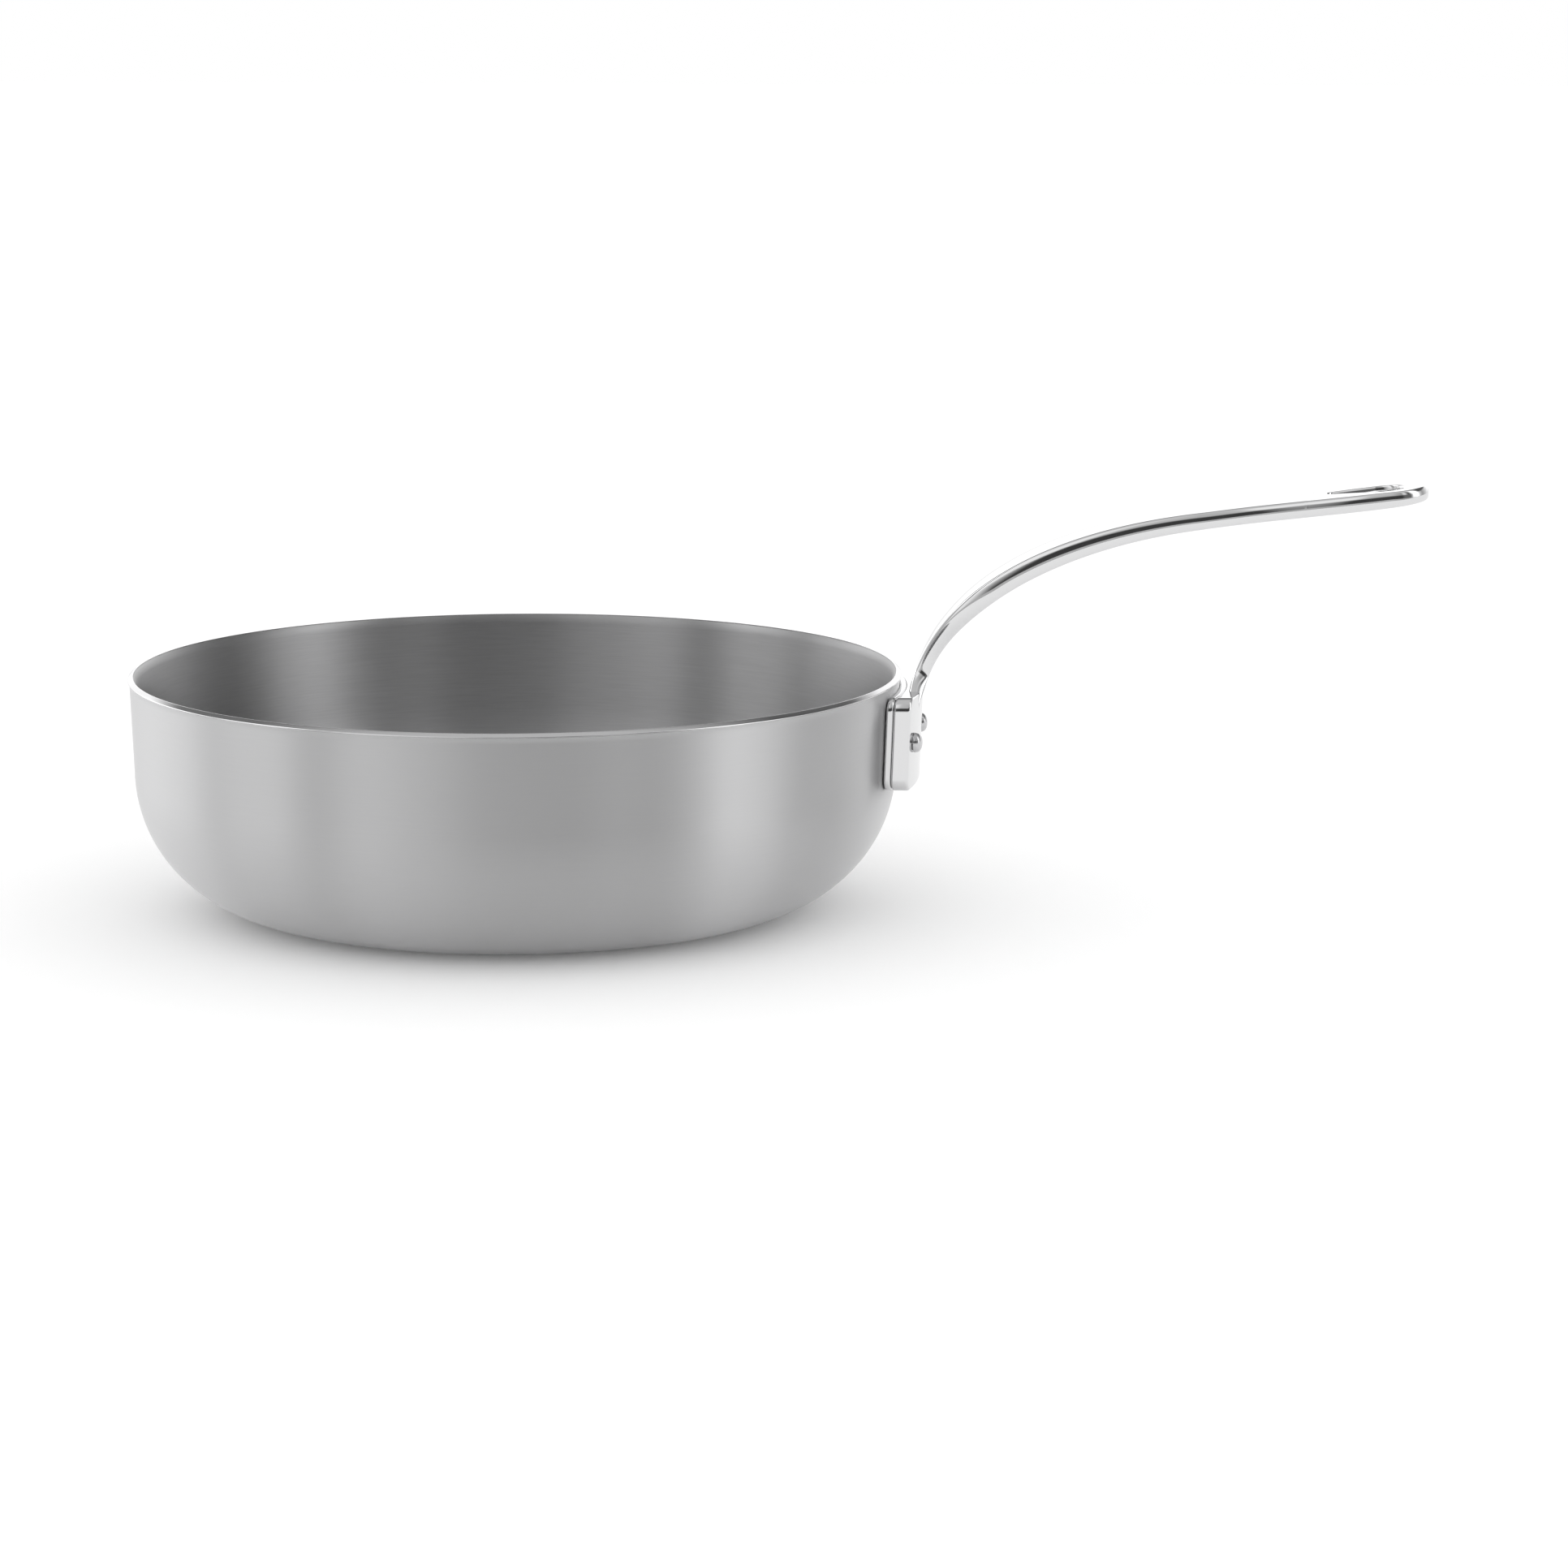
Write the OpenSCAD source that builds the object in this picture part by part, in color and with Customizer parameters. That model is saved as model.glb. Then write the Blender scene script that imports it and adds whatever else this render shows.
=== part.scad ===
// Saucier pan: a bowl of clad sheet steel with a rounded lower corner and a flared rim, and a
// cast handle that two rivets hold through a curved pad.
// Millimetres, +Z up, origin at the centre of the flat base, the handle towards +X.

/* [Pan] */
// Height of the rim above the base
pan_h = 75; // [66:1:95]
// Radius of the outer wall where the rounded corner ends
wall_r = 119.9; // [100:0.1:140]
// Wall thickness of the clad sheet
wall_t = 2; // [1.6:0.1:3]
// Outer radius of the rounded corner
corner_r = 45; // [35:1:50]
// How far the wall leans out between the corner and the lip
wall_lean = 1; // [0:0.1:2]
// Outer radius of the flared lip's bend
lip_r = 4; // [2:0.5:6]
// How far the lip turns outwards, in degrees
lip_angle = 35; // [15:5:60]

/* [Handle foot] */
// Distance from the rim down to the top of the foot and the pad
foot_drop = 4.2; // [4:0.2:10]
// Height of the foot and of the pad behind it
foot_h = 29.2; // [22:0.2:34]
// Width of the foot and of the pad behind it
foot_w = 52; // [46:1:64]
// Radius of the foot's corners, seen from outside
foot_corner_r = 4; // [1:0.5:8]
// Thickness of the pad between the pan and the foot
pad_t = 2.2; // [1.8:0.1:4]
// Thickness of the handle's foot
foot_t = 5.2; // [4.4:0.1:8]
// Radius of the rounded upper and lower edges of pad and foot
edge_r = 0.8; // [0.3:0.1:0.8]

/* [Handle] */
// Reach of the arched part beyond the pan's wall
arch_reach = 93.6; // [80:0.2:110]
// Height of the arched part's end above the rim
arch_rise = 49.4; // [35:0.2:60]
// Angle at which the handle leaves the foot, in degrees
stem_angle = 85; // [75:1:88]
// Angle at which the straight grip rises, in degrees
grip_angle = 7.4; // [0:0.2:14]
// Reach of the straight grip beyond the arched part
grip_reach = 71; // [60:1:110]
// Width of the handle where it spreads into the foot
root_w = 26; // [20:1:30]
// Width of the handle's neck
neck_w = 13.5; // [11:0.5:18]
// Width of the handle's arched part
arch_w = 23; // [18:0.5:28]
// Width of the handle's waist, before the end
waist_w = 16.5; // [13:0.5:22]
// Width of the handle's end
end_w = 23; // [21:0.5:30]
// Thickness of the handle's neck
neck_t = 4.7; // [4:0.1:6]
// Thickness of the handle's arched part
arch_t = 6.2; // [5:0.1:8]
// Thickness of the straight grip
grip_t = 5; // [4:0.1:7]
// Height of the crown along the top of the handle
crown_h = 0.6; // [0:0.1:1.2]

/* [Hanging hole] */
// Length of the teardrop hole
hole_l = 24; // [20:1:34]
// Width of the hole's round outer end
hole_w = 14; // [8:0.5:15]
// Width of the hole's narrow inner end
hole_small_w = 5; // [3:0.5:8]
// Metal between the hole and the tip of the handle
hole_margin = 7; // [5:0.5:10]

/* [Rivets] */
// Diameter of a rivet's shank
rivet_d = 5; // [4:0.1:6]
// Distance between the two rivets
rivet_span = 37.6; // [32:0.2:42]
// Diameter of a rivet's peened outer end
peen_d = 6.4; // [6.2:0.1:8]
// Height of a rivet's peened outer end
peen_h = 2.4; // [1.5:0.1:3.5]
// Diameter of a rivet's broad head inside the pan
head_d = 11; // [8:0.5:14]
// Height of a rivet's broad head
head_h = 1.8; // [1:0.1:3]

/* [Hidden] */
// Gap between faces that touch, so that no two solids share space
seat_gap = 0.05;
// Radial clearance of a rivet's shank in its holes
shank_gap = 0.05;
// Step of the arcs of the pan's outline, in degrees
arc_step = 3;
// Points round one ring of the handle
ring_sides = 32;
// Power of the handle's rounded section: 2 is an ellipse, more is squarer
section_power = 3.4;
// How far the stem reaches down into the foot
stem_depth = 7;
// Pull of the arch's curve at its two ends
stem_pull = 30;
arch_pull = 54;
$fn = 64;

base_r = wall_r - corner_r;
lip_z = pan_h - (lip_r + wall_t) * sin(lip_angle);
foot_top = pan_h - foot_drop;
foot_z = foot_top - foot_h;
pad_gap = seat_gap;
foot_gap = pad_gap + pad_t + seat_gap;
foot_face = foot_gap + foot_t;
rivet_z = foot_z + foot_h / 2;
rivet_angle = asin(rivet_span / 2 / (wall_r + foot_face));
stem_z = foot_top - stem_depth;
arch_x = wall_r + arch_reach;
arch_z = pan_h + arch_rise;
tip_x = arch_x + grip_reach;
tip_z = arch_z + grip_reach * tan(grip_angle);
grip_len = grip_reach / cos(grip_angle);
// Share of the grip that its rounded end takes
end_share = end_w / 2 / grip_len;

function reversed(points) = [for (i = [len(points) - 1 : -1 : 0]) points[i]];

// Radius of the pan's outer wall at a height, up the corner and the leaning wall
function wall_at(z) = z < corner_r
    ? base_r + sqrt(pow(corner_r, 2) - pow(corner_r - z, 2))
    : wall_r + wall_lean * (z - corner_r) / (lip_z - corner_r);

// The pan's outline at a depth inside its outer surface, from the base's centre to the rim
function outline(depth) = concat(
    [[0, depth]],
    [for (a = [0 : arc_step : 90])
        [base_r + (corner_r - depth) * sin(a), corner_r - (corner_r - depth) * cos(a)]],
    [for (a = [0 : lip_angle / 8 : lip_angle + 0.01])
        [wall_r + wall_lean + lip_r - (lip_r + depth) * cos(a), lip_z + (lip_r + depth) * sin(a)]]);

// Places children on a rivet's axis, with their +Z pointing out of the pan
module on_rivet(side) {
    rotate([0, 0, side * rivet_angle])
        translate([0, 0, rivet_z])
        rotate([0, 90, 0])
        children();
}

module rivet_holes() {
    for (side = [-1, 1])
        on_rivet(side)
            translate([0, 0, wall_r - 20])
            cylinder(d = rivet_d + 2 * shank_gap, h = 40);
}

module pan_body() {
    color("silver") difference() {
        rotate_extrude() polygon(concat(outline(0), reversed(outline(wall_t))));
        rivet_holes();
    }
}

// A curved plate that follows the wall between two distances from it
module wall_plate(inner, outer) {
    flat_h = foot_h - 2 * edge_r;
    heights = [for (i = [0 : 8]) foot_z + edge_r + flat_h * i / 8];
    top = foot_top - edge_r;
    low = foot_z + edge_r;
    profile = concat(
        [for (z = heights) [wall_at(z) + inner, z]],
        [for (a = [15 : 15 : 90]) [wall_at(top) + inner + edge_r * (1 - cos(a)), top + edge_r * sin(a)]],
        [for (a = [90 : -15 : 15]) [wall_at(top) + outer - edge_r * (1 - cos(a)), top + edge_r * sin(a)]],
        [for (z = reversed(heights)) [wall_at(z) + outer, z]],
        [for (a = [15 : 15 : 90]) [wall_at(low) + outer - edge_r * (1 - cos(a)), low - edge_r * sin(a)]],
        [for (a = [90 : -15 : 15]) [wall_at(low) + inner + edge_r * (1 - cos(a)), low - edge_r * sin(a)]]);
    intersection() {
        rotate([0, 0, -25]) rotate_extrude(angle = 50) polygon(profile);
        translate([wall_r / 2, 0, foot_z + foot_h / 2])
            rotate([90, 0, 90])
            linear_extrude(height = wall_r)
            polygon(rounded_outline(foot_w, foot_h, foot_corner_r));
    }
}

// A rectangle with round corners, about its centre
function rounded_outline(w, h, r) = [
    for (corner = [0 : 3], a = [0 : 15 : 90])
        let (sx = corner == 0 || corner == 3 ? 1 : -1, sy = corner < 2 ? 1 : -1)
        [sx * (w / 2 - r) + r * cos(a + 90 * corner), sy * (h / 2 - r) + r * sin(a + 90 * corner)]];

module handle_pad() {
    color("gainsboro") difference() {
        wall_plate(pad_gap, pad_gap + pad_t);
        rivet_holes();
    }
}

// The arch's curve in the XZ plane: it leaves the foot steeply and meets the grip without a break
stem_x = wall_at(stem_z) + foot_gap + foot_t / 2;
arch = [
    [stem_x, stem_z],
    [stem_x + stem_pull * cos(stem_angle), stem_z + stem_pull * sin(stem_angle)],
    [arch_x - arch_pull * cos(grip_angle), arch_z - arch_pull * sin(grip_angle)],
    [arch_x, arch_z]];

// The centre line and its direction at s: the arch runs from 0 to 1, the straight grip from 1 to 2
function centre(s) = s < 1
    ? pow(1 - s, 3) * arch[0] + 3 * s * pow(1 - s, 2) * arch[1]
        + 3 * s * s * (1 - s) * arch[2] + pow(s, 3) * arch[3]
    : arch[3] + (s - 1) * grip_len * [cos(grip_angle), sin(grip_angle)];
function along(s) = s < 1
    ? let (d = pow(1 - s, 2) * (arch[1] - arch[0]) + 2 * s * (1 - s) * (arch[2] - arch[1])
        + s * s * (arch[3] - arch[2])) d / norm(d)
    : [cos(grip_angle), sin(grip_angle)];

// A smooth step from 0 to 1 as s goes from a to b
function step(s, a, b) = let (x = min(1, max(0, (s - a) / (b - a)))) x * x * (3 - 2 * x);
function width(s) = root_w
    + (neck_w - root_w) * step(s, 0.03, 0.15)
    + (arch_w - neck_w) * step(s, 0.15, 0.5)
    + (waist_w - arch_w) * step(s, 0.55, 1.2)
    + (end_w - waist_w) * step(s, 1.2, 1.75);
function thickness(s) = neck_t - 1
    + step(s, 0, 0.12)
    + (arch_t - neck_t) * step(s, 0.15, 0.5)
    + (grip_t - arch_t) * step(s, 0.6, 1.1);

// Each ring's place along the handle, and how far the round end draws it in
rings = concat(
    [for (i = [0 : 11]) [0.18 * i / 12, 1]],
    [for (i = [0 : 25]) [0.18 + 0.82 * i / 26, 1]],
    [for (i = [0 : 13]) [1 + (1 - end_share) * i / 14, 1]],
    [for (a = [0 : 9 : 81]) [2 - end_share * (1 - sin(a)), cos(a)]]);

function signed_power(x, p) = sign(x) * pow(abs(x), p);

// One ring: a rounded rectangle with a crowned top, square to the centre line
function ring(s, taper) = let (
    c = centre(s),
    d = along(s),
    half_w = width(s) / 2 * taper,
    half_t = thickness(s) / 2 * (0.8 + 0.2 * taper),
    crown = crown_h * taper * step(s, 0.1, 0.3))
    [for (k = [0 : ring_sides - 1]) let (
        a = 360 * (k + 0.5) / ring_sides,
        across = signed_power(cos(a), 2 / section_power),
        lift = half_t * signed_power(sin(a), 2 / section_power)
            + (sin(a) > 0 ? crown * (1 - across * across) : 0))
        [c[0] - d[1] * lift, half_w * across, c[1] + d[0] * lift]];

module blade() {
    last = (len(rings) - 1) * ring_sides;
    points = [for (r = rings) each ring(r[0], r[1])];
    sides = [for (i = [0 : len(rings) - 2], k = [0 : ring_sides - 1])
        let (a = i * ring_sides + k, b = i * ring_sides + (k + 1) % ring_sides)
        each [[a, a + ring_sides, b], [b, a + ring_sides, b + ring_sides]]];
    start_cap = [[for (k = [0 : ring_sides - 1]) k]];
    end_cap = [[for (k = [ring_sides - 1 : -1 : 0]) last + k]];
    polyhedron(points, concat(start_cap, sides, end_cap), convexity = 6);
}

// The teardrop's outline: a large arc, a small arc, and the straight sides that touch both
function teardrop(big_r, small_r, length) = let (
    pitch = length - big_r - small_r,
    lean = asin((big_r - small_r) / pitch))
    concat(
        [for (a = [-90 - lean : (180 + 2 * lean) / 24 : 90 + lean + 0.01]) big_r * [cos(a), sin(a)]],
        [for (a = [90 + lean : (180 - 2 * lean) / 12 : 270 - lean + 0.01])
            [-pitch + small_r * cos(a), small_r * sin(a)]]);

module hanging_hole() {
    back = hole_margin + hole_w / 2;
    translate([tip_x - back * cos(grip_angle), 0, tip_z - back * sin(grip_angle)])
        rotate([0, -grip_angle, 0])
        linear_extrude(height = 4 * grip_t, center = true)
        polygon(teardrop(hole_w / 2, hole_small_w / 2, hole_l));
}

module handle() {
    color("whitesmoke") difference() {
        union() {
            wall_plate(foot_gap, foot_face);
            blade();
        }
        rivet_holes();
        hanging_hole();
    }
}

// A low dome on its flat face: half an ellipse turned about the rivet's axis
module dome(d, h) {
    rotate_extrude() polygon(concat(
        [[0, 0]],
        [for (a = [0 : 10 : 90]) [d / 2 * cos(a), h * sin(a)]]));
}

// A rivet: broad head inside the pan, shank through wall, pad and foot, peened dome outside
module rivet(side) {
    seat_r = sqrt(pow(wall_at(rivet_z - head_d / 2) - wall_t, 2) - pow(head_d / 2, 2)) - seat_gap;
    face_r = wall_at(rivet_z + peen_d / 2) + foot_face + seat_gap;
    color("lightgray") on_rivet(side) {
        translate([0, 0, seat_r - head_h / 4]) cylinder(d = rivet_d, h = face_r - seat_r + head_h / 2);
        translate([0, 0, seat_r]) mirror([0, 0, 1]) dome(head_d, head_h);
        translate([0, 0, face_r]) dome(peen_d, peen_h);
    }
}

module rivet_near() { rivet(-1); }
module rivet_far() { rivet(1); }

pan_body();
handle_pad();
handle();
rivet_near();
rivet_far();
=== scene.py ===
import logging
import math
from dataclasses import dataclass, field
from enum import Enum
from typing import Any, Mapping, Sequence

import bmesh
import bpy
import numpy as np
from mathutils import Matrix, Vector


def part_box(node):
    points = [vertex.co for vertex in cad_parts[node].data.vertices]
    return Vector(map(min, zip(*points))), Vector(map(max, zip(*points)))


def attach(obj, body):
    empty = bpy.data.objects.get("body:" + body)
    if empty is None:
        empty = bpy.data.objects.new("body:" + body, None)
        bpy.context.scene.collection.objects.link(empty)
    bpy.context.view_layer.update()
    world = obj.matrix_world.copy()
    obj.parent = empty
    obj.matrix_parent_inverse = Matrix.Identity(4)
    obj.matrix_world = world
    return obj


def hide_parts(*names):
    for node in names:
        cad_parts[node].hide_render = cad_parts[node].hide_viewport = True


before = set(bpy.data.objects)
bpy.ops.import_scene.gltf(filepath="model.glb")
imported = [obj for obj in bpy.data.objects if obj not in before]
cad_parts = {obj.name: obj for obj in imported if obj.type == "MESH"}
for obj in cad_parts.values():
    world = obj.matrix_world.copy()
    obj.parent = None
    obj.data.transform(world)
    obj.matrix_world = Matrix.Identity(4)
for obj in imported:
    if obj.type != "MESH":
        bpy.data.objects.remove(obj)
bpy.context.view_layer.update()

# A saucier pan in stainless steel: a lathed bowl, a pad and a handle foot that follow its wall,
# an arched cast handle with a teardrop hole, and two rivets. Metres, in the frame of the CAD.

MM = 0.001
LOG = logging.getLogger("saucier_pan")
Colour = tuple[float, float, float]
Array = np.ndarray


class Signal:
    """An output socket with the arithmetic that the materials use."""

    def __init__(self, kit: "NodeKit", socket: bpy.types.NodeSocket) -> None:
        """Keeps the node kit that made the socket, and the socket."""
        self.kit = kit
        self.socket = socket

    def _math(self, operation: str, first: Any, second: Any) -> "Signal":
        """Adds one Math node.

        Args:
            operation: The Math node's operation.
            first: A signal or a number.
            second: A signal or a number.

        Returns:
            The Math node's output.
        """
        return self.kit.node("ShaderNodeMath", {"operation": operation}, {0: first, 1: second})

    def __add__(self, other: Any) -> "Signal":
        """self + other."""
        return self._math("ADD", self, other)

    def __sub__(self, other: Any) -> "Signal":
        """self - other."""
        return self._math("SUBTRACT", self, other)

    def __rsub__(self, other: Any) -> "Signal":
        """other - self."""
        return self._math("SUBTRACT", other, self)

    def __mul__(self, other: Any) -> "Signal":
        """self * other."""
        return self._math("MULTIPLY", self, other)

    def __truediv__(self, other: Any) -> "Signal":
        """self / other."""
        return self._math("DIVIDE", self, other)

    def __pow__(self, other: Any) -> "Signal":
        """self ** other."""
        return self._math("POWER", self, other)

    __radd__ = __add__
    __rmul__ = __mul__

    def at_most(self, other: Any) -> "Signal":
        """The smaller of self and other."""
        return self._math("MINIMUM", self, other)

    def at_least(self, other: Any) -> "Signal":
        """The larger of self and other."""
        return self._math("MAXIMUM", self, other)

    def angle_from(self, other: Any) -> "Signal":
        """The angle of the point (other, self), in radians."""
        return self._math("ARCTAN2", self, other)


class NodeKit:
    """Builds the node tree of a material or of the world."""

    def __init__(self, tree: bpy.types.NodeTree) -> None:
        """Starts from an empty tree."""
        self.tree = tree
        tree.nodes.clear()

    def node(
        self,
        kind: str,
        settings: Mapping[str, Any] | None = None,
        inputs: Mapping[Any, Any] | None = None,
        output: str | int = 0,
    ) -> Signal | None:
        """Adds one node.

        Args:
            kind: The node's type, such as ShaderNodeMath.
            settings: The node's properties, set first. stops fills a colour ramp.
            inputs: What each input socket gets: a signal, a number, a colour or a vector.
            output: The socket that is returned.

        Returns:
            The output as a signal, or None on a node without outputs.
        """
        made = self.tree.nodes.new(kind)
        for name, value in (settings or {}).items():
            if name == "stops":
                self._fill_ramp(made.color_ramp, value)
            else:
                setattr(made, name, value)
        for name, value in (inputs or {}).items():
            if isinstance(value, Signal):
                self.tree.links.new(value.socket, made.inputs[name])
            else:
                made.inputs[name].default_value = value
        return Signal(self, made.outputs[output]) if len(made.outputs) else None

    @staticmethod
    def _fill_ramp(ramp: bpy.types.ColorRamp, stops: Sequence[tuple[float, float]]) -> None:
        """Gives a ramp its stops.

        Args:
            ramp: The ramp.
            stops: Position and grey level of each stop, in order.
        """
        while len(ramp.elements) < len(stops):
            ramp.elements.new(1.0)
        for element, (position, level) in zip(ramp.elements, stops):
            element.position = position
            element.color = (level, level, level, 1.0)

    def axes(self, vector: Signal) -> tuple[Signal, Signal, Signal]:
        """Splits a vector.

        Args:
            vector: The vector.

        Returns:
            Its x, y and z.
        """
        split = self.node("ShaderNodeSeparateXYZ", {}, {0: vector}).socket.node
        return tuple(Signal(self, split.outputs[i]) for i in range(3))

    def noise(self, vector: Signal, scale: float, detail: float = 2.0) -> Signal:
        """Adds noise between 0 and 1.

        Args:
            vector: Where the noise is read.
            scale: Features per unit of the vector.
            detail: Octaves.

        Returns:
            The noise.
        """
        return self.node("ShaderNodeTexNoise", {}, {"Vector": vector, "Scale": scale, "Detail": detail})


class Grain(Enum):
    """Which way the fine lines of a finish run."""

    AROUND = "round the bowl's axis"
    ALONG = "along the handle"
    NONE = "no direction"


@dataclass(frozen=True)
class SteelFinish:
    """Stainless steel with polishing or brushing lines, faint smudges and a slight change of tone."""

    name: str
    base: Colour
    roughness: float
    grain: Grain
    line_pitch: float
    line_depth: float
    tone: float
    line_roughness: float
    smudge: float
    anisotropy: float = 0.0
    turn: float = 0.0

    def _line_vector(self, kit: NodeKit, position: Signal) -> Signal:
        """Stretches space along the lines, so that noise read there becomes fine streaks.

        Round the bowl the vector is the direction from the axis, which changes slowly, and
        radius plus height, which changes fast across the lines, on the floor and up the wall alike.

        Args:
            kit: The material's node kit.
            position: The Object coordinates.

        Returns:
            The stretched vector.
        """
        x, y, z = kit.axes(position)
        if self.grain is Grain.AROUND:
            radius = ((x * x + y * y) ** 0.5).at_least(0.001)
            turns = 9.0
            parts = {0: x / radius * turns, 1: y / radius * turns, 2: (radius + z) / self.line_pitch}
        elif self.grain is Grain.ALONG:
            parts = {0: x * 60.0, 1: y / self.line_pitch, 2: z * 90.0}
        else:
            parts = {0: x / self.line_pitch, 1: y / self.line_pitch, 2: z / self.line_pitch}
        return kit.node("ShaderNodeCombineXYZ", {}, parts)

    def build(self) -> bpy.types.Material:
        """Makes the material.

        Returns:
            The material.
        """
        material = bpy.data.materials.new(self.name)
        material.use_nodes = True
        kit = NodeKit(material.node_tree)
        position = kit.node("ShaderNodeTexCoord", output="Object")
        lines = kit.noise(self._line_vector(kit, position), 1.0, 3.0)
        patches = kit.noise(position, 18.0, 2.0)
        darker = tuple(c * (1.0 - self.tone) for c in self.base)
        lighter = tuple(min(1.0, c * (1.0 + self.tone)) for c in self.base)
        colour = kit.node(
            "ShaderNodeMix",
            {"data_type": "RGBA"},
            {0: lines, 6: (*darker, 1.0), 7: (*lighter, 1.0)},
            output=2,
        )
        rough = self.roughness + (lines - 0.5) * self.line_roughness + (patches - 0.5) * self.smudge
        bump = kit.node("ShaderNodeBump", {}, {"Strength": 0.3, "Distance": self.line_depth, "Height": lines})
        shader = kit.node(
            "ShaderNodeBsdfPrincipled",
            {},
            {
                "Base Color": colour,
                "Metallic": 1.0,
                "Roughness": rough.at_least(0.02),
                "Anisotropic": self.anisotropy,
                "Anisotropic Rotation": self.turn,
                "Normal": bump,
            },
        )
        kit.node("ShaderNodeOutputMaterial", {}, {"Surface": shader})
        return material


SATIN_OUTSIDE = SteelFinish(
    "steel_satin_outside", (0.66, 0.66, 0.665), 0.42, Grain.AROUND, 0.5 * MM, 0.01 * MM, 0.02, 0.03, 0.02,
    anisotropy=1.0, turn=0.25)
BRUSHED_INSIDE = SteelFinish(
    "steel_brushed_inside", (0.56, 0.56, 0.565), 0.42, Grain.AROUND, 0.6 * MM, 0.03 * MM, 0.10, 0.12, 0.03,
    anisotropy=1.0, turn=0.25)
RIM_EDGE = SteelFinish(
    "steel_rim_edge", (0.72, 0.72, 0.725), 0.10, Grain.AROUND, 0.4 * MM, 0.005 * MM, 0.03, 0.03, 0.01)
POLISHED_CASTING = SteelFinish(
    "steel_polished_casting", (0.78, 0.78, 0.785), 0.055, Grain.ALONG, 0.5 * MM, 0.002 * MM, 0.01, 0.015,
    0.03)
POLISHED_PAD = SteelFinish(
    "steel_polished_pad", (0.74, 0.74, 0.745), 0.09, Grain.NONE, 1.2 * MM, 0.003 * MM, 0.015, 0.02, 0.03)
SATIN_RIVET = SteelFinish(
    "steel_satin_rivet", (0.64, 0.64, 0.65), 0.22, Grain.NONE, 0.4 * MM, 0.02 * MM, 0.05, 0.08, 0.03)


@dataclass
class Patch:
    """A grid of points, rows by columns, and the finish of each band of faces between two rows."""

    points: Array
    wraps: bool = False
    finish: int | Array = 0

    def faces(self, start: int) -> Array:
        """Joins neighbouring rows and columns into four-sided faces.

        Args:
            start: The number of the patch's first vertex in the mesh.

        Returns:
            Vertex numbers, one row a face.
        """
        rows, columns = self.points.shape[:2]
        i = np.arange(rows - 1)[:, None]
        j = np.arange(columns if self.wraps else columns - 1)[None, :]
        here, there = i * columns, (i + 1) * columns
        after = (j + 1) % columns
        return start + np.stack([here + j, here + after, there + after, there + j], -1).reshape(-1, 4)

    def finishes(self) -> Array:
        """The finish of each face, in the order of faces()."""
        rows, columns = self.points.shape[:2]
        across = columns if self.wraps else columns - 1
        return np.repeat(np.broadcast_to(self.finish, rows - 1), across)


def make_piece(name: str, patches: Sequence[Patch], finishes: Sequence[SteelFinish]) -> bpy.types.Object:
    """Puts grids together as one closed, smooth, outward-facing mesh.

    Args:
        name: The piece's name.
        patches: The grids. Points that coincide are merged, which closes seams and poles.
        finishes: The material slots.

    Returns:
        The piece, at the origin.
    """
    mesh = bpy.data.meshes.new(name)
    starts = np.cumsum([0] + [p.points.shape[0] * p.points.shape[1] for p in patches])
    vertices = np.concatenate([p.points.reshape(-1, 3) for p in patches])
    faces = np.concatenate([p.faces(int(s)) for p, s in zip(patches, starts)])
    mesh.from_pydata(vertices.tolist(), [], faces.tolist())
    bands = np.concatenate([p.finishes() for p in patches]).astype(np.int32)
    mesh.polygons.foreach_set("material_index", bands)
    for finish in finishes:
        mesh.materials.append(bpy.data.materials.get(finish.name) or finish.build())
    shape = bmesh.new()
    shape.from_mesh(mesh)
    bmesh.ops.remove_doubles(shape, verts=shape.verts, dist=1e-6)
    bmesh.ops.recalc_face_normals(shape, faces=shape.faces)
    if shape.calc_volume(signed=True) < 0:
        bmesh.ops.reverse_faces(shape, faces=shape.faces)
    open_edges = sum(not e.is_manifold for e in shape.edges)
    shape.to_mesh(mesh)
    shape.free()
    mesh.polygons.foreach_set("use_smooth", np.ones(len(mesh.polygons), dtype=bool))
    piece = bpy.data.objects.new(name, mesh)
    bpy.context.scene.collection.objects.link(piece)
    counts = (len(mesh.vertices), len(mesh.polygons), open_edges)
    LOG.info("%s: %d vertices, %d faces, %d open edges", name, *counts)
    return piece


def smooth_step(x: Array, low: float, high: float) -> Array:
    """Rises from 0 at low to 1 at high as 3t^2 - 2t^3.

    Args:
        x: Where it is read.
        low: Where it starts to rise.
        high: Where it reaches 1.

    Returns:
        The values.
    """
    t = np.clip((x - low) / (high - low), 0.0, 1.0)
    return t * t * (3.0 - 2.0 * t)


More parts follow.
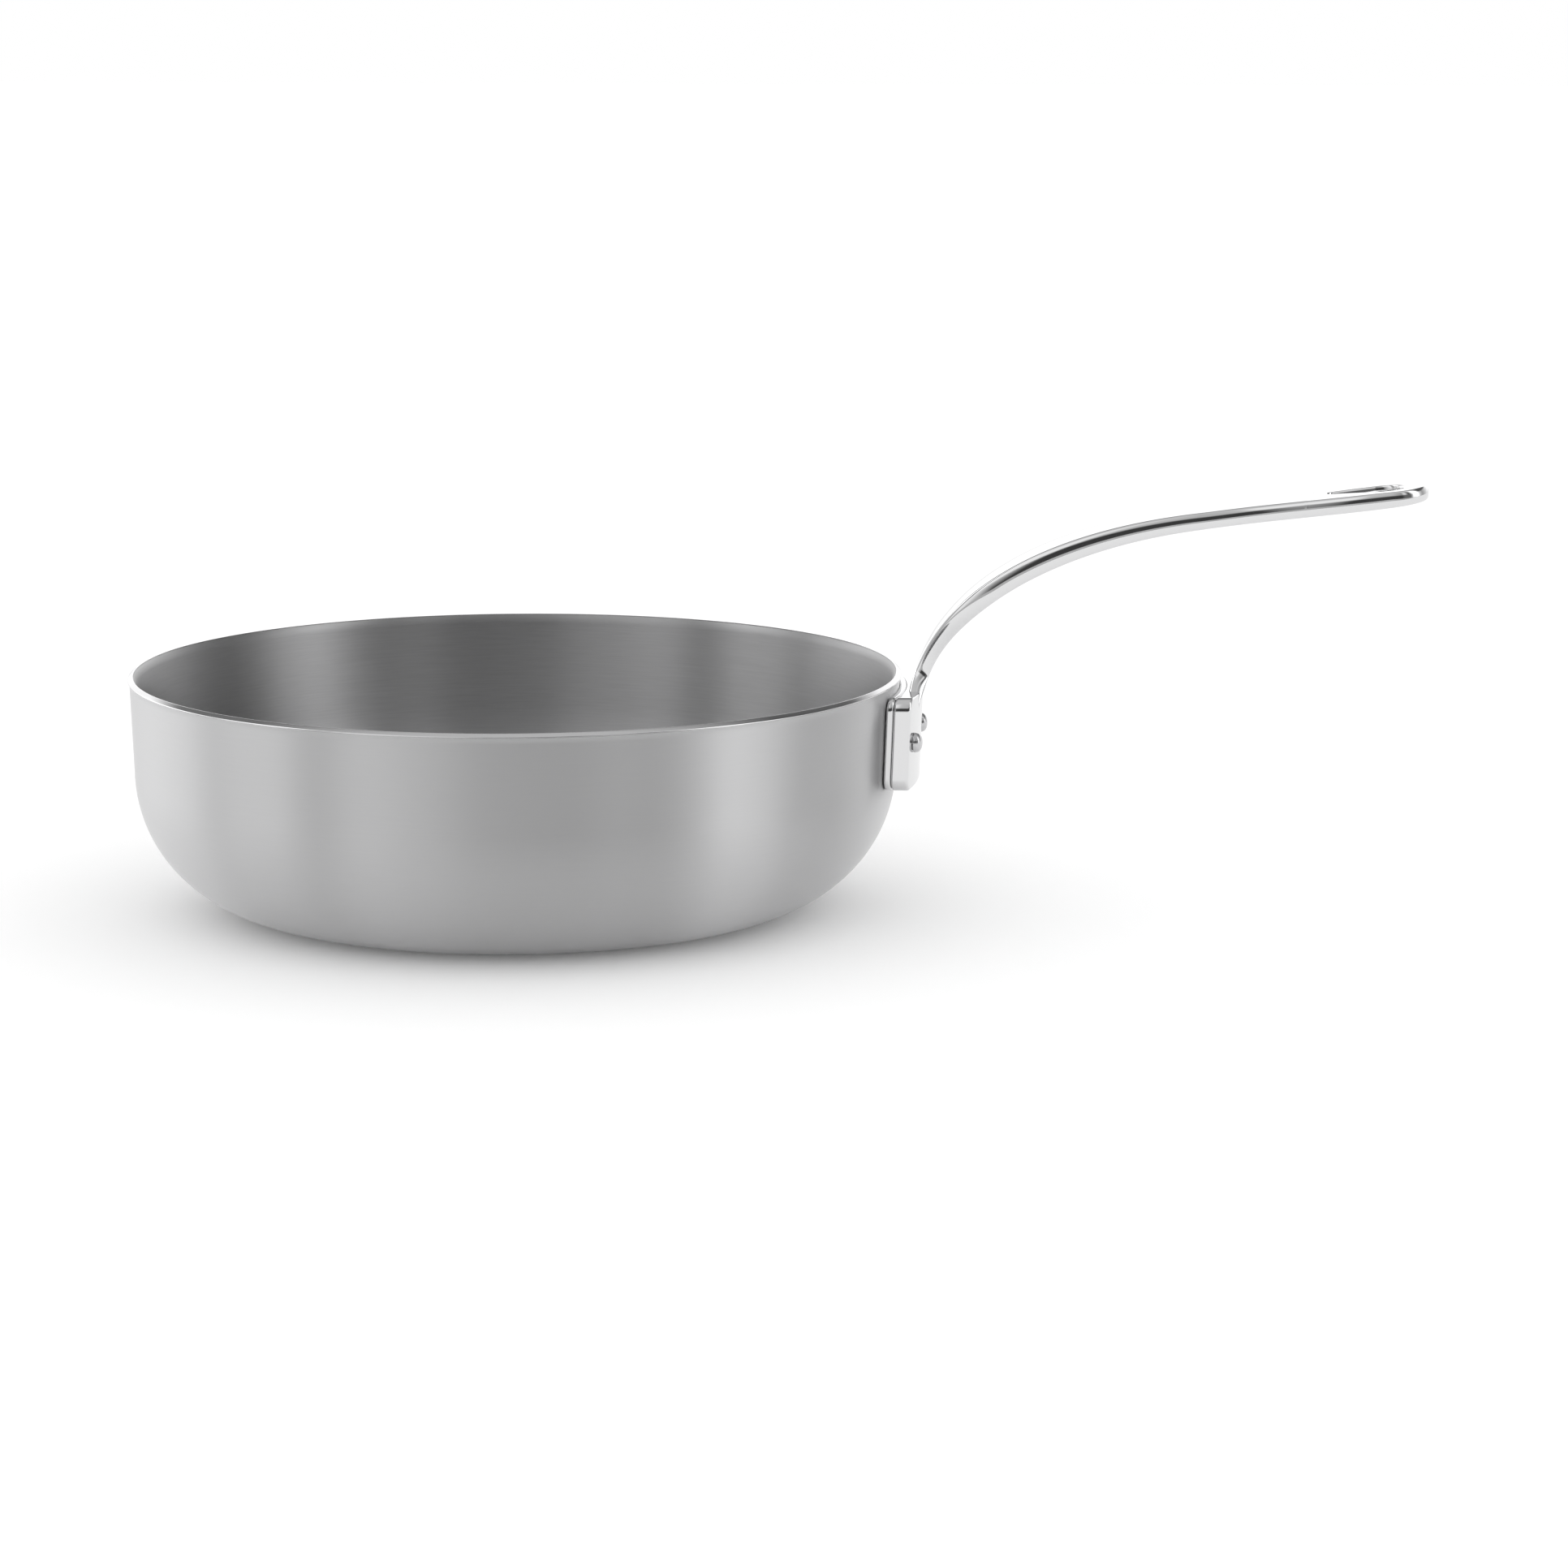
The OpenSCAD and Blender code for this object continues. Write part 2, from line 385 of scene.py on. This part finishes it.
@dataclass(frozen=True)
class Bowl:
    """The pan itself, a sheet turned about the Z axis, with the sizes of the CAD."""

    wall_r: float = 119.9 * MM
    wall_t: float = 2.0 * MM
    corner_r: float = 45.0 * MM
    wall_lean: float = 1.0 * MM
    lip_r: float = 4.0 * MM
    lip_angle: float = math.radians(35.0)
    edge_r: float = 0.35 * MM
    turns: int = 288

    @property
    def height(self) -> float:
        """The rim's height, from the frame."""
        return float(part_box("pan_body")[1][2])

    @property
    def base_r(self) -> float:
        """Radius of the flat base."""
        return self.wall_r - self.corner_r

    @property
    def lip_z(self) -> float:
        """Height at which the lip starts."""
        return self.height - (self.lip_r + self.wall_t) * math.sin(self.lip_angle)

    def wall_at(self, z: Array) -> Array:
        """The outer wall's radius: a quarter circle up to corner_r, then a straight line that leans out.

        Args:
            z: Heights.

        Returns:
            Radii.
        """
        drop = np.clip(self.corner_r - z, 0.0, self.corner_r)
        corner = self.base_r + np.sqrt(self.corner_r**2 - drop**2)
        rise = np.clip((z - self.corner_r) / (self.lip_z - self.corner_r), 0.0, None)
        return corner + self.wall_lean * rise

    def outline(self, depth: float) -> Array:
        """The bowl's section at a depth inside its outer surface, from the axis to the lip's end.

        It is the flat base, a quarter circle, the leaning wall and an arc that bends outwards.

        Args:
            depth: Distance inside the outer surface.

        Returns:
            Radius and height of each point.
        """
        base = np.linspace(0.0, self.base_r * 0.98, 14)
        turn = np.radians(np.linspace(0.0, 90.0, 40))
        wall = np.linspace(0.0, 1.0, 9)[1:-1]
        lip = np.linspace(0.0, self.lip_angle, 14)
        bend = self.corner_r - depth
        top_r = self.wall_r + self.wall_lean
        return np.concatenate([
            np.stack([base, np.full_like(base, depth)], 1),
            np.stack([self.base_r + bend * np.sin(turn), self.corner_r - bend * np.cos(turn)], 1),
            np.stack([self.wall_r - depth + self.wall_lean * wall,
                      self.corner_r + (self.lip_z - self.corner_r) * wall], 1),
            np.stack([top_r + self.lip_r - (self.lip_r + depth) * np.cos(lip),
                      self.lip_z + (self.lip_r + depth) * np.sin(lip)], 1)])

    def rim(self) -> Array:
        """The cut edge of the sheet: two small quarter circles and the flat between them.

        Returns:
            Radius and height of each point, from the outer surface to the inner.
        """
        across = np.array([-math.cos(self.lip_angle), math.sin(self.lip_angle)])
        out = np.array([math.sin(self.lip_angle), math.cos(self.lip_angle)])
        corner = self.outline(0.0)[-1] - out * self.edge_r
        a = np.radians(np.linspace(0.0, 90.0, 7))[:, None]
        first = corner + self.edge_r * (across * (1.0 - np.cos(a)) + out * np.sin(a))
        far = corner + across * self.wall_t
        second = far - self.edge_r * (across * (1.0 - np.cos(a[::-1])) - out * np.sin(a[::-1]))
        return np.concatenate([first, second])

    def build(self) -> bpy.types.Object:
        """Turns the section about the Z axis.

        Returns:
            The bowl, outside, rim and inside each with its own finish.
        """
        outside, rim, inside = self.outline(0.0)[:-1], self.rim(), self.outline(self.wall_t)[:-1][::-1]
        section = np.concatenate([outside, rim, inside])
        a = np.linspace(0.0, 2.0 * math.pi, self.turns, endpoint=False)
        points = np.stack([
            section[:, 0, None] * np.cos(a),
            section[:, 0, None] * np.sin(a),
            np.broadcast_to(section[:, 1, None], (len(section), self.turns))], -1)
        bands = np.zeros(len(section) - 1, dtype=int)
        bands[len(outside) - 1:] = 1
        bands[len(outside) + len(rim) - 1:] = 2
        piece = make_piece("bowl", [Patch(points, True, bands)], [SATIN_OUTSIDE, RIM_EDGE, BRUSHED_INSIDE])
        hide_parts("pan_body")
        return piece


@dataclass(frozen=True)
class WallPlate:
    """A plate with round corners and rounded edges that follows the bowl's wall."""

    bowl: Bowl
    inner: float
    thickness: float
    top: float
    height: float
    width: float = 52.0 * MM
    corner_r: float = 4.0 * MM
    edge_r: float = 0.8 * MM
    steps: int = 200

    def _loop(self, inset: Array) -> Array:
        """Rounded rectangles, each inset from the plate's outline by the same distance all round.

        A point at angle a is the corner's centre plus the radius times (cos a, sin a), and the
        straight sides are sampled evenly between the corners.

        Args:
            inset: The distances.

        Returns:
            Across and up of each point, rings by points.
        """
        side = self.steps // 4
        arc = side // 2
        loops = []
        for distance in inset:
            radius = self.corner_r - distance
            half = np.array([self.width / 2 - self.corner_r, self.height / 2 - self.corner_r])
            corners = [(1, 1), (-1, 1), (-1, -1), (1, -1)]
            points = []
            for number, signs in enumerate(corners):
                a = np.radians(90.0 * number + np.linspace(0.0, 90.0, arc))
                curve = half * signs + radius * np.stack([np.cos(a), np.sin(a)], 1)
                a_next = math.radians(90.0 * (number + 1))
                out_next = np.array([math.cos(a_next), math.sin(a_next)])
                start_next = half * corners[(number + 1) % 4] + radius * out_next
                t = np.linspace(0.0, 1.0, side - arc + 1)[1:-1, None]
                points += [curve, curve[-1] + (start_next - curve[-1]) * t]
            loops.append(np.concatenate(points))
        return np.array(loops)

    def patch(self) -> Patch:
        """One grid from the middle of the back, over the rounded edges, to the middle of the front.

        Across and up are the rounded rectangle's. The point lies at the wall's radius at its
        height plus its depth, and x is the square root of that radius squared less across squared.

        Returns:
            The closed grid.
        """
        turn = np.radians(np.linspace(0.0, 90.0, 8))
        edge_inset = self.edge_r * (1.0 - np.sin(turn))
        edge_depth = self.edge_r * (1.0 - np.cos(turn))
        shrink = np.linspace(0.0, 1.0, 16)[:-1]
        flat = self._loop(np.array([self.edge_r]))[0]
        edge = self._loop(edge_inset)
        faces = flat[None] * shrink[:, None, None]
        plan = np.concatenate([faces, edge, edge[::-1], faces[::-1]])
        depth = np.concatenate([
            np.zeros(len(shrink)), edge_depth,
            self.thickness - edge_depth[::-1], np.full(len(shrink), self.thickness)])
        z = self.top - self.height / 2 + plan[..., 1]
        radius = self.bowl.wall_at(z) + self.inner + depth[:, None]
        y = plan[..., 0]
        return Patch(np.stack([np.sqrt(radius**2 - y**2), y, z], -1), True)


@dataclass(frozen=True)
class Teardrop:
    """The hanging hole's outline: a large arc, a small arc and the straight sides that touch both."""

    length: float = 24.0 * MM
    big_r: float = 7.0 * MM
    small_r: float = 2.5 * MM

    def half(self, count: int) -> Array:
        """Half of the outline, from its narrow end to its wide end, on the side of positive y.

        Args:
            count: How many points, evenly spaced along it.

        Returns:
            Along and across of each point, from the large arc's centre.
        """
        pitch = self.length - self.big_r - self.small_r
        lean = math.asin((self.big_r - self.small_r) / pitch)
        touch = math.pi / 2 + lean
        small = np.linspace(math.pi, touch, 40)
        big = np.linspace(touch, 0.0, 80)
        path = np.concatenate([
            np.stack([-pitch + self.small_r * np.cos(small), self.small_r * np.sin(small)], 1),
            np.stack([self.big_r * np.cos(big), self.big_r * np.sin(big)], 1)])
        return even(path, np.linspace(0.0, 1.0, count))


def even(path: Array, shares: Array) -> Array:
    """Points at given shares of a path's length.

    Args:
        path: Points along the path.
        shares: Shares of the length, from 0 to 1.

    Returns:
        One point for each share.
    """
    steps = np.linalg.norm(np.diff(path, axis=0), axis=1)
    length = np.concatenate([[0.0], np.cumsum(steps)])
    return np.stack([np.interp(shares * length[-1], length, path[:, k]) for k in range(2)], 1)


@dataclass(frozen=True)
class Handle:
    """The cast handle: a foot on the wall, an arched stem and a straight grip with a hanging hole."""

    bowl: Bowl
    foot: WallPlate
    hole: Teardrop = field(default_factory=Teardrop)
    hole_margin: float = 7.0 * MM
    hole_edge: float = 0.6 * MM
    stem_depth: float = 7.0 * MM
    arch_reach: float = 93.6 * MM
    arch_rise: float = 49.4 * MM
    stem_angle: float = math.radians(85.0)
    grip_angle: float = math.radians(7.4)
    grip_reach: float = 71.0 * MM
    stem_pull: float = 30.0 * MM
    arch_pull: float = 54.0 * MM
    side_edge: float = 1.1 * MM
    crown: float = 0.6 * MM

    @property
    def grip_length(self) -> float:
        """Length of the straight grip along its slope."""
        return self.grip_reach / math.cos(self.grip_angle)

    @property
    def end_start(self) -> float:
        """Distance along the grip at which the half-round end starts."""
        return self.grip_length - 11.5 * MM

    def _controls(self) -> Array:
        """The four points of the arch's cubic curve, as x and z."""
        z = self.foot.top - self.stem_depth
        x = float(self.bowl.wall_at(np.array(z))) + self.foot.inner + self.foot.thickness / 2
        end = np.array([self.bowl.wall_r + self.arch_reach, self.bowl.height + self.arch_rise])
        start = np.array([x, z])
        rise = np.array([math.cos(self.stem_angle), math.sin(self.stem_angle)])
        run = np.array([math.cos(self.grip_angle), math.sin(self.grip_angle)])
        return np.array([start, start + self.stem_pull * rise, end - self.arch_pull * run, end])

    def centre(self, s: Array) -> tuple[Array, Array]:
        """The centre line: a cubic Bezier curve for s up to 1, then the straight grip up to 2.

        Args:
            s: Places along the handle.

        Returns:
            Points and unit directions, as x and z.
        """
        p = self._controls()
        t = np.clip(s, 0.0, 1.0)[..., None]
        arch = (1 - t) ** 3 * p[0] + 3 * t * (1 - t) ** 2 * p[1] + 3 * t**2 * (1 - t) * p[2] + t**3 * p[3]
        along = (1 - t) ** 2 * (p[1] - p[0]) + 2 * t * (1 - t) * (p[2] - p[1]) + t**2 * (p[3] - p[2])
        along = along / np.linalg.norm(along, axis=-1, keepdims=True)
        return arch + np.clip(s - 1.0, 0.0, None)[..., None] * self.grip_length * along, along

    @staticmethod
    def half_width(s: Array) -> Array:
        """Half the width at s: spread at the foot, narrow neck, wide arch, waist, wide end."""
        root, neck, arch, waist, end = 26.0 * MM, 13.5 * MM, 23.0 * MM, 16.5 * MM, 23.0 * MM
        width = (root + (neck - root) * smooth_step(s, 0.03, 0.15) + (arch - neck) * smooth_step(s, 0.15, 0.5)
                 + (waist - arch) * smooth_step(s, 0.55, 1.2) + (end - waist) * smooth_step(s, 1.2, 1.75))
        return width / 2

    @staticmethod
    def half_thickness(s: Array) -> Array:
        """Half the thickness at s: thin inside the foot, thickest in the arch, thinner in the grip."""
        neck, arch, grip = 4.7 * MM, 6.2 * MM, 5.0 * MM
        thick = (neck - 1.0 * MM + 1.0 * MM * smooth_step(s, 0.0, 0.12)
                 + (arch - neck) * smooth_step(s, 0.15, 0.5) + (grip - arch) * smooth_step(s, 0.6, 1.1))
        return thick / 2

    def surface(self, s: Array, y: Array, rim_gap: Array, hole_gap: Array | None, side: int) -> Array:
        """The upper or lower skin over places (s, y) of the handle's plan.

        Its height above the centre line is half the thickness times the square root of 1 - (1 - d)^2,
        where d is the distance to the outline over side_edge, up to 1. So the side is half an ellipse
        between flat skins. The same form rounds the hole's edge. The upper skin has a crown, which
        fades out before the tip, where the handle also gets a little thinner.

        Args:
            s: Places along the handle.
            y: Places across it.
            rim_gap: Distances to the outline.
            hole_gap: Distances to the hole, or None away from it.
            side: 1 for the upper skin, -1 for the lower.

        Returns:
            Points.
        """
        half = self.half_width(s)
        shape = np.sqrt(1.0 - (1.0 - np.clip(rim_gap / self.side_edge, 0.0, 1.0)) ** 2)
        if hole_gap is not None:
            q = 2.4
            shape = shape * (1.0 - (1.0 - np.clip(hole_gap / self.hole_edge, 0.0, 1.0)) ** q) ** (1.0 / q)
        crown = self.crown * (1.0 - (y / half) ** 2)
        crown = crown * smooth_step(s, 0.1, 0.3) * (1.0 - smooth_step(s, 1.6, 1.92))
        thick = self.half_thickness(s) * (1.0 - 0.08 * smooth_step(s, 1.75, 2.0))
        lift = side * shape * (thick + (crown if side > 0 else 0.0))
        centre, along = self.centre(s)
        return np.stack([centre[..., 0] - along[..., 1] * lift, y, centre[..., 1] + along[..., 0] * lift], -1)

    def _shares_across(self) -> Array:
        """Places across the stem from 1 to -1, closest together at its edges."""
        half = 1.0 - np.linspace(0.0, 1.0, 22) ** 2.6
        return np.concatenate([half, -half[-2::-1]])

    def shaft(self, cut: float) -> list[Patch]:
        """The upper and lower skins from inside the foot to the cut before the hole, and the inner end.

        Args:
            cut: The place s of the cut.

        Returns:
            Three grids.
        """
        s = np.concatenate([
            np.linspace(0.0, 0.2, 30), np.linspace(0.2, 1.0, 90)[1:], np.linspace(1.0, cut, 40)[1:]])
        shares = self._shares_across()
        half = self.half_width(s)
        y = half[:, None] * shares
        gap = half[:, None] * (1.0 - np.abs(shares))
        places = np.broadcast_to(s[:, None], y.shape)
        skins = [self.surface(places, y, gap, None, side) for side in (1, -1)]
        return [Patch(skins[0]), Patch(skins[1]), Patch(np.stack([skins[0][0], skins[1][0]]))]

    def eye(self, cut: float) -> list[Patch]:
        """The upper and lower skins of the end, on a grid that runs from the hole's edge to the outline.

        Rows lead from the hole out, columns go round it. The outer row is the cut line, with the
        shaft's own points, and then the handle's outline to the tip and back.

        Args:
            cut: The place s of the cut.

        Returns:
            Two grids.
        """
        length = self.grip_length
        cut_at = (cut - 1.0) * length
        shares = self._shares_across()
        cut_half = float(self.half_width(np.array(cut)))
        middle = len(shares) // 2
        line = np.stack([np.full(middle + 1, cut_at), cut_half * shares[middle::-1]], 1)
        straight = np.linspace(cut_at, self.end_start, 60)
        turn = np.radians(np.linspace(0.0, 90.0, 60))[1:]
        round_at = self.end_start + (length - self.end_start) * np.sin(turn)
        side = np.concatenate([
            np.stack([straight, self.half_width(1.0 + straight / length)], 1),
            np.stack([round_at, self.half_width(1.0 + round_at / length) * np.cos(turn)], 1)])
        edge = even(side, np.linspace(0.0, 1.0, 90))[1:]
        outer = np.concatenate([line, edge])
        outer[-1, 1] = 0.0
        steps = np.concatenate([[0.0], np.cumsum(np.linalg.norm(np.diff(outer, axis=0), axis=1))])
        hole = self.hole.half(400)
        hole[:, 0] += length - self.hole_margin - self.hole.big_r
        inner = even(hole, steps / steps[-1])
        inner[[0, -1], 1] = 0.0
        mirror = np.array([1.0, -1.0])
        outer = np.concatenate([outer, (outer * mirror)[-2:0:-1]])
        inner = np.concatenate([inner, (inner * mirror)[-2:0:-1]])
        t = np.linspace(0.0, 1.0, 45)
        share = np.where(t < 0.5, 0.5 * (2 * t) ** 2.3, 1.0 - 0.5 * (2 * (1 - t)) ** 2.6)[:, None, None]
        plan = inner + (outer - inner) * share
        s = 1.0 + plan[..., 0] / length
        y = plan[..., 1]
        full_side = np.concatenate([side, (side * mirror)[::-1]])
        near = self.half_width(s) - np.abs(y)
        true = distance_to(plan, full_side)
        gap = near + (true - near) * smooth_step(plan[..., 0], cut_at, cut_at + 8.0 * MM)
        on_edge = np.zeros(plan.shape[:2], dtype=bool)
        on_edge[-1] = plan[-1, :, 0] > cut_at + 1e-9
        gap = np.where(on_edge, 0.0, gap)
        hole_path = np.concatenate([hole, (hole * mirror)[::-1]])
        hole_gap = distance_to(plan, hole_path)
        hole_gap[0] = 0.0
        return [Patch(self.surface(s, y, gap, hole_gap, side), True) for side in (1, -1)]

    def build(self) -> bpy.types.Object:
        """Makes the handle with its foot.

        Returns:
            The handle.
        """
        cut = 1.0 + (self.grip_length - self.hole_margin - self.hole.length - 7.0 * MM) / self.grip_length
        patches = [*self.shaft(cut), *self.eye(cut), self.foot.patch()]
        piece = make_piece("cast_handle", patches, [POLISHED_CASTING])
        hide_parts("handle")
        return piece


def distance_to(points: Array, path: Array) -> Array:
    """The shortest distance from each point to a path of short straight pieces.

    The nearest place on a piece is its start plus the clamped share of it that the point projects to.

    Args:
        points: Points of the plane, with their coordinates on the last axis.
        path: Points along the path.

    Returns:
        The distances.
    """
    flat = points.reshape(-1, 1, 2)
    start, step = path[:-1], np.diff(path, axis=0)
    size = np.maximum((step**2).sum(-1), 1e-18)
    share = np.clip(((flat - start) * step).sum(-1) / size, 0.0, 1.0)
    nearest = start + share[..., None] * step
    return np.linalg.norm(flat - nearest, axis=-1).min(-1).reshape(points.shape[:-1])


@dataclass(frozen=True)
class Rivet:
    """A rivet: broad head inside the pan, shank, and a peened end with a soft edge outside."""

    name: str
    node: str
    side: int
    bowl: Bowl
    foot: WallPlate
    head_d: float = 11.0 * MM
    head_h: float = 1.8 * MM
    shank_d: float = 5.0 * MM
    peen_d: float = 6.2 * MM
    peen_h: float = 2.4 * MM
    span: float = 37.6 * MM
    seat_gap: float = 0.05 * MM

    def _profile(self) -> Array:
        """Distance along the axis and radius of each point, from the head's top to the peened end.

        The head is half an ellipse. The peened end is a short cylinder whose edge is a quarter
        of a superellipse, so that its top is nearly flat.

        Returns:
            The points.
        """
        z = self.foot.top - self.foot.height / 2
        low = float(self.bowl.wall_at(np.array(z - self.head_d / 2))) - self.bowl.wall_t
        seat = math.sqrt(low**2 - (self.head_d / 2) ** 2) - self.seat_gap
        face = float(self.bowl.wall_at(np.array(z + self.peen_d / 2))) + self.foot.inner + self.foot.thickness
        face += self.seat_gap
        a = np.radians(np.linspace(90.0, 0.0, 20))
        head = np.stack([seat - self.head_h * np.sin(a), self.head_d / 2 * np.cos(a) ** 0.9], 1)
        shank = np.array([[seat, self.shank_d / 2], [face, self.shank_d / 2]])
        peen = np.stack([
            face + self.peen_h * np.sin(a[::-1]) ** 0.8, self.peen_d / 2 * np.cos(a[::-1]) ** 0.75], 1)
        return np.concatenate([head, shank, peen])

    def build(self) -> bpy.types.Object:
        """Turns the profile about the rivet's axis, which points out of the pan.

        Returns:
            The rivet.
        """
        profile = self._profile()
        z = self.foot.top - self.foot.height / 2
        reach = self.bowl.wall_r + self.foot.inner + self.foot.thickness
        yaw = self.side * math.asin(self.span / 2 / reach)
        out = np.array([math.cos(yaw), math.sin(yaw), 0.0])
        across = np.array([-math.sin(yaw), math.cos(yaw), 0.0])
        up = np.array([0.0, 0.0, 1.0])
        a = np.linspace(0.0, 2.0 * math.pi, 64, endpoint=False)[None, :, None]
        radius = profile[:, 1, None, None]
        points = profile[:, 0, None, None] * out + radius * (np.cos(a) * across + np.sin(a) * up)
        points = points + np.array([0.0, 0.0, z])
        piece = make_piece(self.name, [Patch(points, True)], [SATIN_RIVET])
        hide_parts(self.node)
        return piece


@dataclass(frozen=True)
class Studio:
    """A white studio: a table, world light with screens of several greys for the metal, and the camera."""

    image_px: int = 1932
    rim_centre_px: tuple[int, int] = (637, 821)
    focal_px: float = 6246.0
    distance: float = 1.6
    elevation: float = math.radians(9.0)
    yaw: float = math.radians(7.0)
    table_front: float = 0.7
    table_glow: float = 0.12
    room: float = 0.5
    ceiling: float = 0.6
    low_screens: tuple[tuple[float, float], ...] = (
        (-180, 1.30), (-150, 1.20), (-130, 1.70), (-106, 1.70), (-94, 0.90), (-84, 1.00), (-75, 0.60),
        (-68, 0.90), (-62, 0.45), (-54, 0.45), (-46, 1.00), (-36, 0.90), (-16, 0.35), (-8, 0.05),
        (30, 0.05), (40, 0.15), (60, 0.15), (66, 0.60), (71, 1.50), (88, 1.60), (98, 0.70),
        (110, 0.40), (128, 0.70), (150, 1.20), (180, 1.30))
    high_screens: tuple[tuple[float, float], ...] = (
        (-180, 0.20), (-112, 0.20), (-104, 0.50), (-97, 1.60), (-90, 2.40), (-78, 2.20), (-70, 1.00),
        (-64, 0.10), (-54, 0.05), (-49, 1.20), (-42, 1.30), (-36, 1.00), (-12, 1.00), (-5, 0.60),
        (20, 0.40), (30, 0.35), (37, 0.80), (43, 0.80), (49, 0.30), (54, 0.05), (60, 0.30),
        (65, 1.00), (71, 1.90), (83, 2.00), (91, 0.80), (98, 0.10), (130, 0.10), (180, 0.20))

    def camera(self, rim_z: float) -> None:
        """Places the camera so that the rim's centre falls on its place in the photograph.

        Args:
            rim_z: The rim's height.
        """
        level = np.array([math.sin(self.yaw), -math.cos(self.yaw), 0.0])
        back = level * math.cos(self.elevation) + np.array([0.0, 0.0, math.sin(self.elevation)])
        right = np.array([math.cos(self.yaw), math.sin(self.yaw), 0.0])
        up = np.cross(back, right)
        across, down = (np.array(self.rim_centre_px) - self.image_px / 2) / self.focal_px
        aim = -back - across * right + down * up
        data = bpy.data.cameras.new("camera")
        data.sensor_width = 36.0
        data.lens = data.sensor_width * self.focal_px / self.image_px
        camera = bpy.data.objects.new("camera", data)
        camera.location = np.array([0.0, 0.0, rim_z]) + self.distance * back
        camera.rotation_euler = Vector(aim).to_track_quat("-Z", "Y").to_euler()
        bpy.context.scene.collection.objects.link(camera)
        bpy.context.scene.camera = camera

    def floor(self) -> None:
        """A wide white table that ends in front of the pan, a little lighter to the camera alone."""
        size = 6.0
        grid = np.stack(np.meshgrid([-size, size], [-self.table_front, size], indexing="ij"), -1)
        points = np.concatenate([grid, np.full((2, 2, 1), -0.0002)], -1)
        mesh = bpy.data.meshes.new("floor")
        mesh.from_pydata(points.reshape(-1, 3).tolist(), [], [(0, 2, 3, 1)])
        material = bpy.data.materials.new("white_floor")
        material.use_nodes = True
        kit = NodeKit(material.node_tree)
        white = kit.node("ShaderNodeBsdfDiffuse", {}, {"Color": (0.96, 0.96, 0.96, 1.0)})
        seen = kit.node("ShaderNodeLightPath", output="Is Camera Ray")
        glow = kit.node("ShaderNodeEmission", {}, {"Strength": seen * self.table_glow})
        both = kit.node("ShaderNodeAddShader", {}, {0: white, 1: glow})
        kit.node("ShaderNodeOutputMaterial", {}, {"Surface": both})
        mesh.materials.append(material)
        floor = bpy.data.objects.new("floor", mesh)
        bpy.context.scene.collection.objects.link(floor)

    def world(self) -> None:
        """White to the camera and to diffuse surfaces; screens of several greys round the metal."""
        world = bpy.data.worlds.new("studio")
        world.use_nodes = True
        world.cycles.sampling_method = "NONE"
        kit = NodeKit(world.node_tree)
        x, y, z = kit.axes(kit.node("ShaderNodeTexCoord", output="Generated"))
        turn = x.angle_from(y * -1.0) / (2.0 * math.pi) + 0.5
        low, high = (
            kit.node("ShaderNodeValToRGB", {"stops": [(0.5 + angle / 360.0, level) for angle, level in ring]},
                     {0: turn})
            for ring in (self.low_screens, self.high_screens))
        around = (self.room, self.room, self.room, 1.0)
        top = (self.ceiling, self.ceiling, self.ceiling, 1.0)
        for start, end, above in ((-0.02, 0.0, low), (0.35, 0.5, high), (0.75, 0.95, top)):
            height = ((z - start) / (end - start)).at_least(0.0).at_most(1.0)
            around = kit.node("ShaderNodeMix", {"data_type": "RGBA"}, {0: height, 6: around, 7: above}, 2)
        metal = kit.node("ShaderNodeLightPath", output="Is Glossy Ray")
        white = (1.0, 1.0, 1.0, 1.0)
        colour = kit.node("ShaderNodeMix", {"data_type": "RGBA"}, {0: metal, 6: white, 7: around}, 2)
        sky = kit.node("ShaderNodeBackground", {}, {"Color": colour, "Strength": 1.0})
        kit.node("ShaderNodeOutputWorld", {}, {"Surface": sky})
        bpy.context.scene.world = world

    def build(self, rim_z: float) -> None:
        """Sets up the whole studio.

        Args:
            rim_z: The rim's height.
        """
        self.camera(rim_z)
        self.floor()
        self.world()
        bpy.context.scene.view_settings.view_transform = "Standard"


def main() -> None:
    """Builds every piece, sets it on the pan's body and lights it."""
    logging.basicConfig(level=logging.INFO, format="%(name)s: %(message)s")
    seat_gap = 0.05 * MM
    pad_thickness, foot_thickness = 2.2 * MM, 5.2 * MM
    bowl = Bowl()
    low, high = (float(corner[2]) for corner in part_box("handle_pad"))
    pad = WallPlate(bowl, seat_gap, pad_thickness, high, high - low)
    foot = WallPlate(bowl, seat_gap + pad_thickness + seat_gap, foot_thickness, high, high - low)
    backing = make_piece("pad", [pad.patch()], [POLISHED_PAD])
    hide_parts("handle_pad")
    pieces = [
        bowl.build(),
        backing,
        Handle(bowl, foot).build(),
        Rivet("near_rivet", "rivet_near", -1, bowl, foot).build(),
        Rivet("far_rivet", "rivet_far", 1, bowl, foot).build()]
    for piece in pieces:
        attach(piece, "root")
    Studio().build(bowl.height)


if __name__ == "__main__":
    main()
